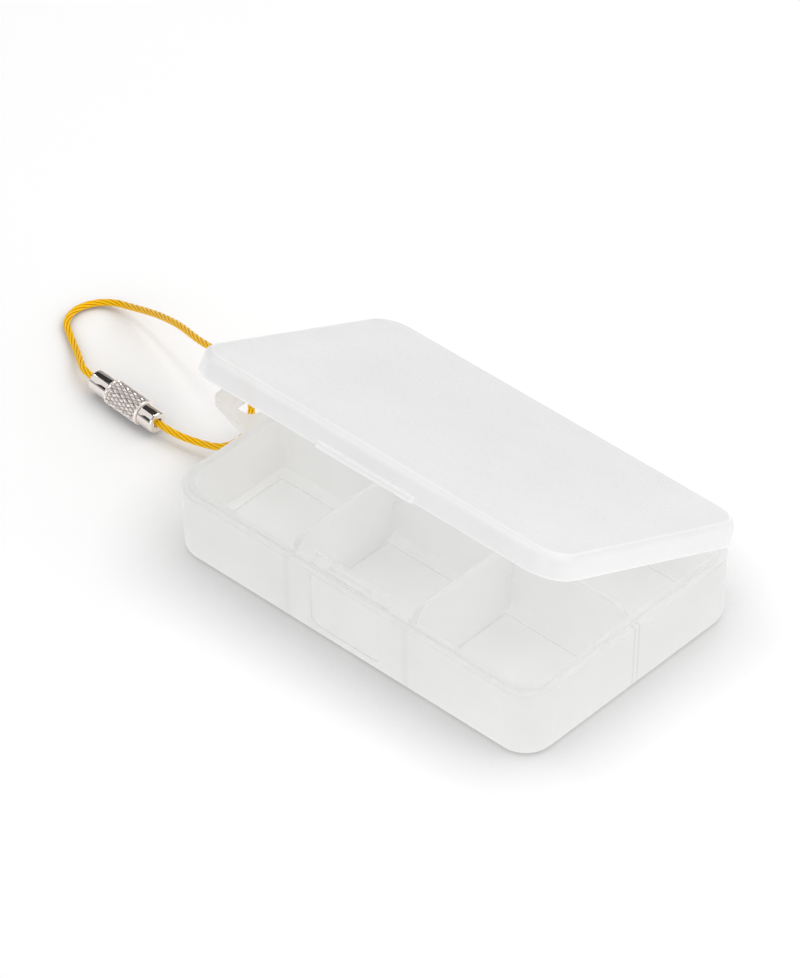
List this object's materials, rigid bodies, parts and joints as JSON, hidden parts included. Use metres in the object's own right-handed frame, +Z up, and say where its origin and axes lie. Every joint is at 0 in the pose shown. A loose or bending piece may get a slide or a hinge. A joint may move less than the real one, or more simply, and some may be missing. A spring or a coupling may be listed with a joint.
{
  "type": "fly box",
  "caption": "Pocket fly box: drafted translucent tray with slotted cross dividers, hinged snap lid, latch tab, and a lanyard lug carrying a coated wire loop with a screw connector.",
  "frame": {"origin": "on the table, under the middle of the tray's underside", "axes": "+X along the box to the right, +Y to the hinge side, +Z up; the latch faces -Y, the lug -X"},
  "size_m": [0.1627, 0.0664, 0.0465],
  "materials": {
    "frosted_plastic": "natural translucent polypropylene, lightly frosted",
    "pin_steel": "drawn wire",
    "yellow_wire": "stranded wire rope in a clear yellow coat",
    "bright_metal": "bright nickel plate, knurled on the sleeve"
  },
  "bodies": {
    "tray": {"tray": "frosted_plastic", "left_divider": "frosted_plastic", "right_divider": "frosted_plastic", "hinge_pin": "pin_steel"},
    "lid": {"lid": "frosted_plastic"},
    "lanyard": {"wire_cable": "yellow_wire", "swivel_ferrule": "bright_metal", "stud_ferrule": "bright_metal"},
    "sleeve": {"knurled_sleeve": "bright_metal"}
  },
  "joints": [
    {"name": "lid_hinge", "type": "hinge", "parent": "tray", "child": "lid", "pos_m": [0, 0.0334, 0.0159], "axis": [-1, 0, 0], "range_deg": [-24.2, 155.8]},
    {"name": "lanyard_swing", "type": "hinge", "parent": "tray", "child": "lanyard", "pos_m": [-0.0521, -0.0027, 0.0147], "axis": [0, 1, 0], "range_deg": [0, 30]},
    {"name": "sleeve_turn", "type": "hinge", "parent": "lanyard", "child": "sleeve", "pos_m": [-0.0833, -0.0069, 0.0029], "axis": [0.9974, -0.0727, 0], "continuous": true}
  ]
}
